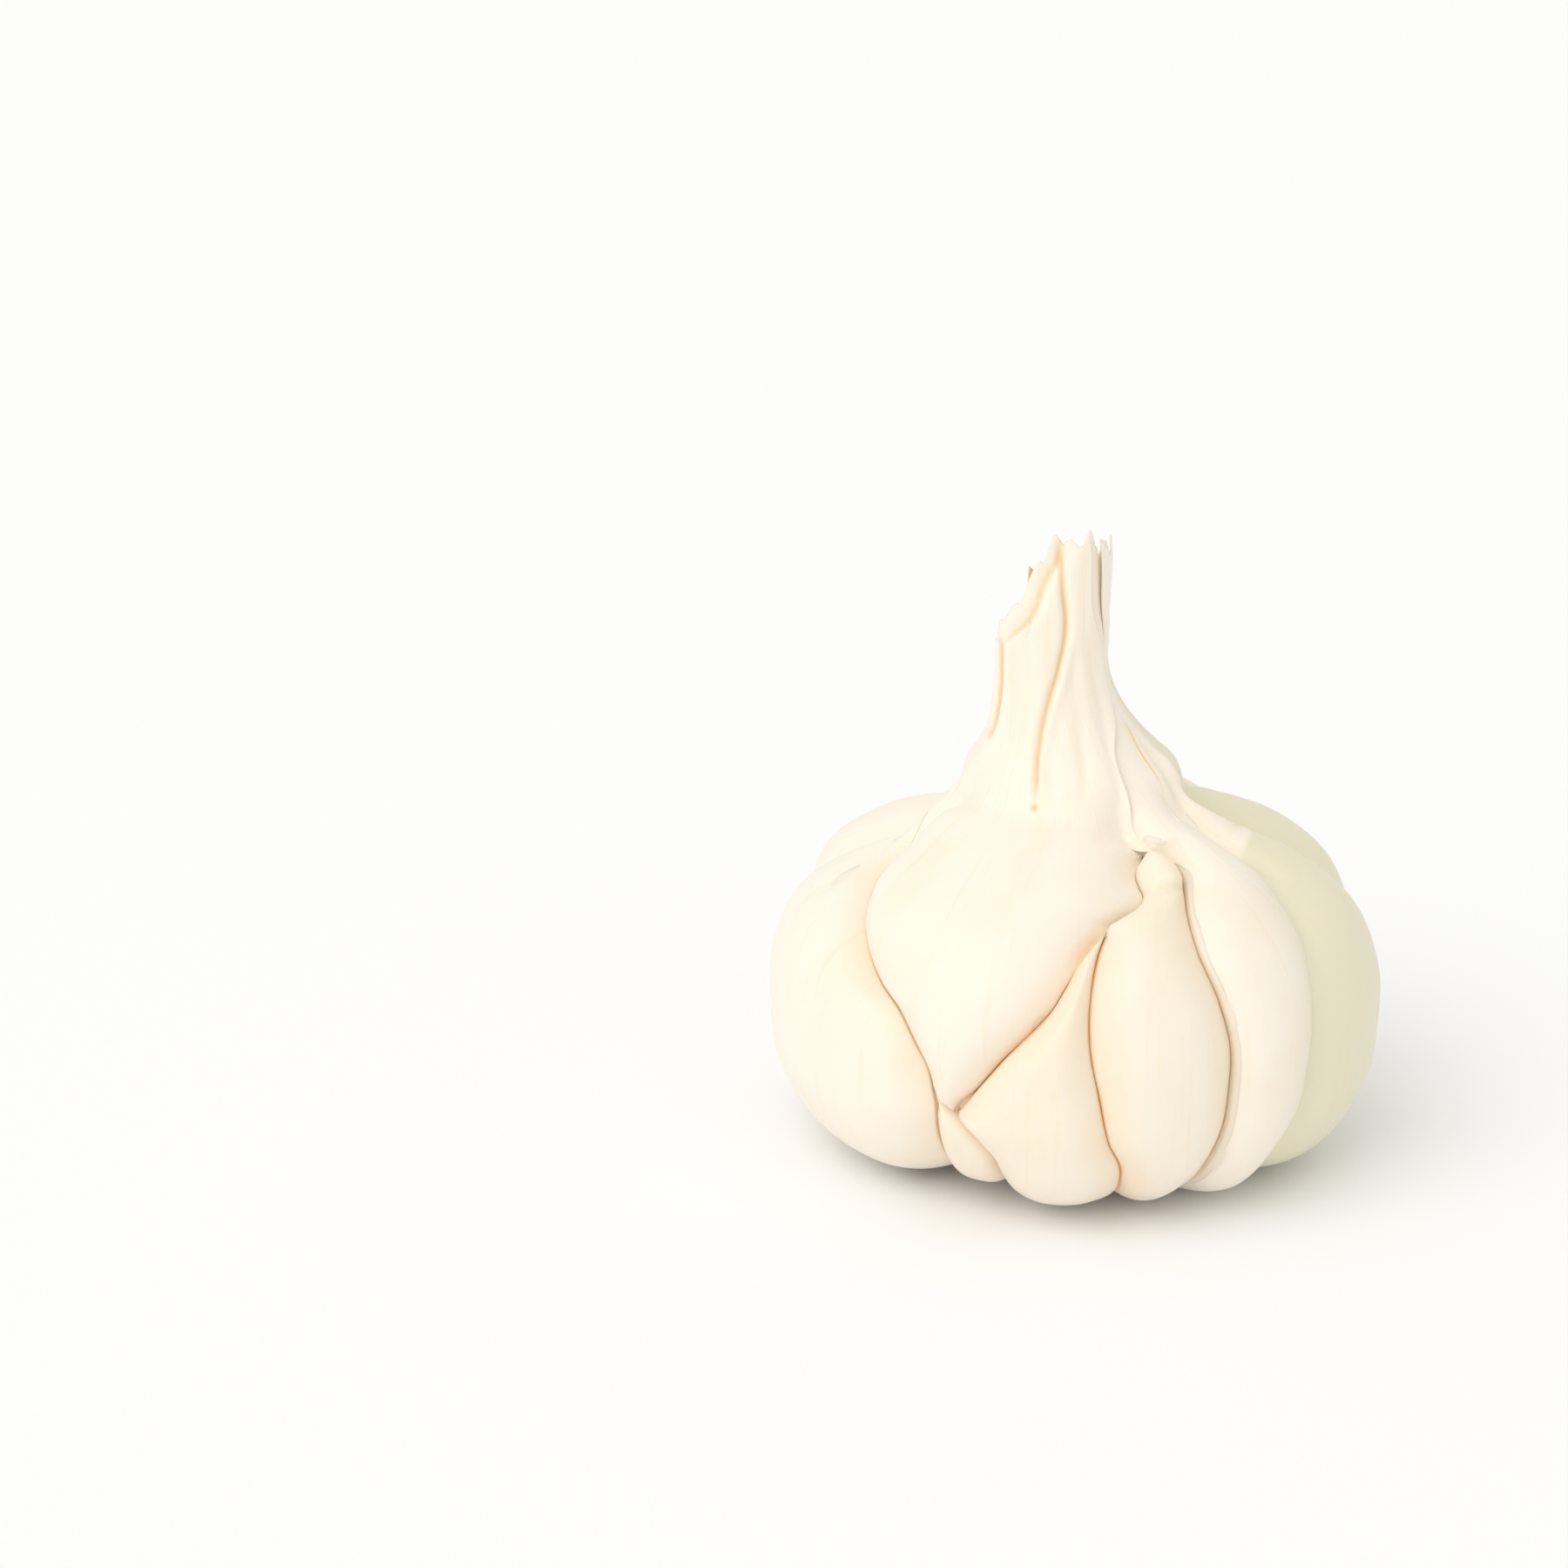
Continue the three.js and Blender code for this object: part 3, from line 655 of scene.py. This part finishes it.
# %% The five leaves
LEAVES = {
    "front_leaf": {
        "left": [
            (-9.8, -21.9), (-7.5, -27.1), (-3, -28.3), (1, -30.6), (8, -36.6), (12, -43), (18, -51.5),
            (24, -59.5), (34, -72), (46, -86), (62, -98), (75, -112), (100, -112),
        ],
        "right": [
            (-9.8, -21.5), (-3, -16.8), (3, -12.3), (12, -4.2), (17, -1.1), (24, 3.3), (31, 10.6),
            (35, 19.1), (38, 22.5), (41, 22.8), (44, 23.2), (47, 25), (50, 28.6), (52.5, 31.5),
            (60, 29.5), (70, 38), (76, 58), (80, 66), (86, 60), (92, 44), (100, 40),
        ],
        "low": [(0, -9.9), (1, -9.9)],
        "top": [(0, 84), (0.2, 87), (0.45, 92.5), (0.62, 97.5), (0.72, 100.6), (0.85, 99), (1, 100.5)],
        "hugs": {"main": 26},
        "off": (0.10, 0.45, 0.82),
        "stained_and_shaded": (0.9, 0.5),
        "tucks_right": True,
        "spots": [(61.6, -18.8, 0.42, 1.5), (71.5, -69, 0.7, 1.2)],
        "seed": 5,
        "flare": 0.2,
        "creases": [
            (
                [
                    (61.5, -18.7), (66, -19), (70, -19), (75, -14), (80, -3.5), (84, 7), (90, 16),
                    (95, 10), (99, 6),
                ],
                0.6, 0.36, 1.3,
            ),
            ([(85, -66), (87.5, -52), (90.7, -26), (95.2, -11), (97.7, 3), (100, 6)], 0.45, 0.6, 1.0),
            ([(69, -71), (72, -68), (78, -66), (87, -66)], 0.4, 0.8, 1.45),
            ([(62, 6), (70, 14), (80, 22), (90, 22), (98, 18)], 0.2, 0.6, 0.2),
            ([(66, -42), (74, -40), (82, -36), (92, -24)], 0.22, 0.8, 0.25),
            ([(60, 24), (70, 34), (80, 48), (88, 40)], 0.2, 0.6, 0.15),
        ],
    },
    "left_leaf": {
        "left": [(-40, -97), (0, -101), (20, -99), (46, -112), (62, -142), (75, -176), (100, -176)],
        "right": [
            (-40, -28.4), (-20, -28), (-11, -27.4), (-7.5, -27.9), (-3, -29), (1, -31.4), (8, -37.4),
            (12, -44), (18, -52.5), (24, -60), (34, -69.5), (46, -81), (62, -92), (75, -106),
            (100, -106),
        ],
        "low": [(0, -35), (0.35, -42), (0.7, -39), (1, -44)],
        "top": [(0, 84), (0.5, 88), (1, 85)],
        "hugs": {"left": 16},
        "off": (0.20, 0.36, 0.50),
        "stained_and_shaded": (0.1, 0.6),
        "tucks_right": True,
        "seed": 17,
        "torn": 1.5,
        "flare": 0.5,
        "creases": [
            ([(20, -70), (34, -78), (50, -98), (66, -128), (84, -140)], 0.4, 1.0, 0.0),
            ([(40, -98), (54, -120), (70, -150), (90, -156)], 0.4, 0.8, 0.2),
        ],
    },
    "inner_leaf": {
        "left": [
            (-46, 29.2), (-22, 31.6), (-10, 33.1), (3, 33.6), (13, 32.1), (22, 30.6), (31, 32.6),
            (37, 36.1), (41, 38.5), (45, 38.9), (49, 35), (53, 27), (60, 24), (70, 32), (76, 50),
            (80, 58), (86, 52), (96, 34),
        ],
        "right": [
            (-46, 44), (-20, 47), (-10, 50), (2, 52), (15, 55), (27, 60), (40, 60), (50, 58), (60, 62),
            (70, 70), (76, 82), (80, 86), (86, 82), (96, 70),
        ],
        "low": [(0, -43), (0.5, -46), (1, -43)],
        "flare": 0.2,
        "top": [(0, 98.5), (0.3, 101), (0.6, 98), (1, 99)],
        "hugs": {"right": 50},
        "off": (0.06, 0.12, 0.38),
        "stained_and_shaded": (0, 0),
        "seed": 29,
        "creases": [],
    },
    "right_leaf": {
        "left": [
            (-40, 43.5), (-20, 45.2), (-10, 48), (2, 49.8), (15, 52.6), (25, 55), (32, 52.5), (38, 49),
            (50, 47.5), (60, 53), (70, 63), (76, 75), (80, 79), (86, 75), (92, 61), (100, 53),
        ],
        "right": [
            (-40, 94), (-30, 96), (0, 102), (25, 108), (46, 114), (62, 120), (75, 122), (100, 118),
        ],
        "low": [(0, -40), (0.4, -43), (0.7, -39), (1, -40)],
        "top": [(0, 100), (0.3, 97.5), (0.5, 99), (0.8, 96), (1, 94)],
        "hugs": {"flank": 10},
        "off": (0.34, 0.48, 0.66),
        "stained_and_shaded": (0, 0.1),
        "seed": 41,
        "torn": 1.2,
        "flare": 0.4,
        "creases": [
            ([(30, 66), (44, 62), (60, 66), (74, 82), (90, 84)], 0.42, 0.9, 0.15),
            ([(62, 57), (70, 65), (76, 77), (82, 80)], 0.12, 0.35, 1.2),
            ([(36, 84), (50, 82), (66, 90), (84, 98)], 0.36, 0.9, 0.2),
        ],
    },
    "back_leaf": {
        "left": [(-40, 95), (-30, 95), (0, 98), (25, 98), (46, 97), (62, 102), (75, 108), (100, 108)],
        "right": [(-40, 261), (0, 258), (20, 260), (46, 248), (62, 220), (75, 188), (100, 188)],
        "low": [(0, -34), (0.2, -20), (0.45, -30), (0.7, -14), (0.85, -24), (1, -36)],
        "top": [(0, 97), (0.3, 95), (0.6, 88), (1, 84)],
        "off": (0.36, 0.46, 0.56),
        "seed": 53,
        "ragged": 0.9,
        "torn": 1.8,
        "flare": 0.4,
        "creases": [
            ([(30, 118), (46, 122), (64, 130), (86, 134)], 0.4, 1.0, 0.2),
            ([(24, 150), (44, 150), (64, 152), (88, 150)], 0.45, 1.0, 0.3),
            ([(34, 196), (50, 190), (66, 180), (88, 172)], 0.45, 0.9, 0.2),
            ([(28, 232), (46, 222), (62, 204), (80, 186)], 0.4, 1.0, 0.2),
        ],
    },
}
PAPER_THICKNESS = 0.16
for name, leaf in LEAVES.items():
    steps = {"front_leaf": (150, 250), "back_leaf": (230, 165), "inner_leaf": (90, 260)}.get(name, (120, 200))
    mesh = leaf_mesh(name, leaf, *steps)
    piece = add_piece(f"{name}_sheet", mesh, name, paper)
    wall = piece.modifiers.new("paper thickness", "SOLIDIFY")
    wall.thickness = PAPER_THICKNESS * MM
    wall.offset = -1
    print(name, "faces:", len(mesh.polygons))

# %% [markdown]
# ## The rolled middle of the neck
# Inside the outer leaves the stalk is more sheaths, rolled like paper and dried to straw. One long
# sheet wound in a spiral gives the same rings when the neck is seen from above.

# %% Rolled sheaths
TURNS = 3.4
dry_sheath, nodes, links, shader = shade("dry_sheath", 0.7, 0.15)
grain = attribute(nodes, "grain").outputs["Vector"]
fibre = noise(nodes, links, grain, 2.4, 4.0, (1, 0.03, 1))
straw = remap(nodes, links, fibre, 0.5, 0.75)
colour = tint(nodes, links, (0.93, 0.84, 0.66), (0.78, 0.58, 0.33), straw)
dried = remap(nodes, links, attribute(nodes, "crease").outputs["Fac"], 0.2, 1, 0, 0.6)
colour = tint(nodes, links, colour, BROWN, dried)
links.new(colour, shader.inputs["Base Color"])
bump(nodes, links, shader, fibre, 0.35, 0.15 * MM)

shape = bmesh.new()
bmesh.ops.create_grid(shape, x_segments=260, y_segments=70, size=0.5)
roll = bpy.data.meshes.new("neck_core_roll")
shape.to_mesh(roll)
shape.free()
x, y, _ = vertices_of(roll).T
turn, up = (x + 0.5) * TURNS * 2 * np.pi, y + 0.5
top = 57.2 + 1.3 * uneven(turn * 2, 0, 0, 5, 71) - 2.2 * (1 - (x + 0.5))
height = 33.0 + (top - 33.0) * up
outer = along([(33, 4.9), (37, 5.4), (41, 4.9), (46, 3.9), (52, 3.4), (60, 2.9)], height)
radius = outer * (0.12 + 0.88 * (x + 0.5)) + 0.12 * uneven(turn * 1.5, height * 0.2, 0, 3, 73)
lean = -2.6 * smooth(38, 47, height)
set_vertices(roll, np.stack([radius * np.cos(turn) + lean, radius * np.sin(turn), height], -1))
note(roll, "crease", smooth(0.86, 1.0, up))
note(roll, "grain", np.stack([turn * 2, height, np.zeros(len(x))], -1))
neck = add_piece("neck_core_roll", roll, "neck_core", dry_sheath)
wall = neck.modifiers.new("sheath thickness", "SOLIDIFY")
wall.thickness = 0.14 * MM
wall.offset = 0
print("rolled sheaths, turns:", TURNS)

# %% [markdown]
# ## The root plate
# The plate is what is left of the stem: a corky disc, flat where the roots were trimmed, with a
# fringe of cut root stubs. It is a cylinder with bevelled rims, its surface roughened, and each
# stub is a short tapered cone set round its rim.

# %% Root plate and stubs
root_cork, nodes, links, shader = shade("root_cork", 0.86, 0.05)
place = nodes.new("ShaderNodeTexCoord").outputs["Object"]
grit = noise(nodes, links, place, 900.0, 4.0)
blot = noise(nodes, links, place, 220.0, 2.0)
colour = tint(nodes, links, (0.62, 0.47, 0.28), (0.36, 0.24, 0.12), remap(nodes, links, grit, 0.4, 0.65))
colour = tint(nodes, links, colour, (0.80, 0.70, 0.50), remap(nodes, links, blot, 0.5, 0.7))
links.new(colour, shader.inputs["Base Color"])
bump(nodes, links, shader, grit, 0.6, 0.3 * MM)

low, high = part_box("root_plate")
FOOT_RADIUS, NECK_RADIUS, PLATE_HEIGHT, STUBS = 7.4, 6.0, 4.6, 64  # mm, and a count
plate = bmesh.new()
bmesh.ops.create_cone(
    plate, cap_ends=True, segments=96, radius1=FOOT_RADIUS, radius2=NECK_RADIUS, depth=PLATE_HEIGHT
)
bmesh.ops.translate(plate, vec=(0, 0, PLATE_HEIGHT / 2), verts=plate.verts)
rims = [e for e in plate.edges if len(e.link_faces) == 2 and e.calc_face_angle(0) > 0.6]
bmesh.ops.bevel(plate, geom=rims, offset=0.5, affect="EDGES", segments=4, profile=0.5, material=-1)
rng = np.random.default_rng(9)
for k in range(STUBS):
    length, thick = rng.uniform(1.2, 3.0), rng.uniform(0.18, 0.34)
    made = bmesh.ops.create_cone(
        plate, cap_ends=True, segments=10, radius1=thick, radius2=thick * 0.55, depth=length
    )["verts"]
    bmesh.ops.rotate(plate, verts=made, cent=(0, 0, 0), matrix=Vector((0, 0, 1)).rotation_difference(
        Vector((1, 0, rng.uniform(-0.02, 0.22)))).to_matrix())
    bmesh.ops.translate(plate, verts=made, vec=(6.3 + length / 2, 0, rng.uniform(0.5, 1.9)))
    angle = k / STUBS * 2 * np.pi + rng.uniform(-0.05, 0.05)
    bmesh.ops.rotate(plate, verts=made, cent=(0, 0, 0), matrix=Vector((1, 0, 0)).rotation_difference(
        Vector((np.cos(angle), np.sin(angle), 0))).to_matrix())
mesh = bpy.data.meshes.new("root_plate_cork")
plate.to_mesh(mesh)
plate.free()
set_vertices(mesh, vertices_of(mesh))
root = add_piece("root_plate_cork", mesh, "root_plate", root_cork)
print("root plate, mm across:", round((high.x - low.x) / MM, 1), "stubs:", STUBS)

# %% [markdown]
# ## Floor, light and camera
# A big pale floor, a nearly white sky and one large soft lamp high at the left give the bright,
# nearly shadowless look of a studio table, with a soft shadow to the right.

# %% Floor and light
shape = bmesh.new()
bmesh.ops.create_grid(shape, x_segments=1, y_segments=1, size=8)
floor_mesh = bpy.data.meshes.new("floor")
shape.to_mesh(floor_mesh)
shape.free()
floor = bpy.data.objects.new("floor", floor_mesh)
bpy.context.scene.collection.objects.link(floor)
floor_paint = bpy.data.materials.new("floor_paint")
floor_paint.use_nodes = True
floor_paint.node_tree.nodes["Principled BSDF"].inputs["Base Color"].default_value = (0.965, 0.975, 0.995, 1)
floor_paint.node_tree.nodes["Principled BSDF"].inputs["Roughness"].default_value = 0.9
floor_mesh.materials.append(floor_paint)

world = bpy.data.worlds.new("white sky")
bpy.context.scene.world = world
world.use_nodes = True
world.node_tree.nodes["Background"].inputs["Color"].default_value = (1, 0.988, 0.96, 1)
world.node_tree.nodes["Background"].inputs["Strength"].default_value = 0.815


def sun(name, azimuth, elevation, strength, softness, colour=(1, 1, 1)):
    """A far lamp, so the floor is lit evenly; softness is how wide it looks, in degrees."""
    light = bpy.data.lights.new(name, "SUN")
    light.energy, light.angle, light.color = strength, softness * DEG, colour
    thing = bpy.data.objects.new(name, light)
    a, e = azimuth * DEG, elevation * DEG
    away = Vector((np.cos(e) * np.sin(a), -np.cos(e) * np.cos(a), np.sin(e)))
    thing.location = away
    thing.rotation_euler = away.to_track_quat("Z", "Y").to_euler()
    bpy.context.scene.collection.objects.link(thing)


sun("key", -40, 46, 0.92, 50, (1.0, 0.985, 0.95))
bpy.context.scene.view_settings.view_transform = "Standard"

# %% Camera
DISTANCE, ELEVATION = 374.0, 21.5 * DEG  # mm from the heart, and how far the camera looks down
ASIDE, ABOVE = 29.48, 17.69  # how far left of and above the heart it aims, mm
heart = Vector((0, 0, HEART))
eye = heart + DISTANCE * Vector((0, -np.cos(ELEVATION), np.sin(ELEVATION)))
right, upward = Vector((1, 0, 0)), Vector((0, np.sin(ELEVATION), np.cos(ELEVATION)))
aim = heart - right * ASIDE + upward * ABOVE
lens = bpy.data.cameras.new("camera")
lens.lens, lens.sensor_width = 85, 36  # mm, a portrait lens
lens.clip_start, lens.clip_end = 0.01, 20
camera = bpy.data.objects.new("camera", lens)
camera.location = eye * MM
camera.rotation_euler = (aim - eye).to_track_quat("-Z", "Y").to_euler()
bpy.context.scene.collection.objects.link(camera)
bpy.context.scene.camera = camera
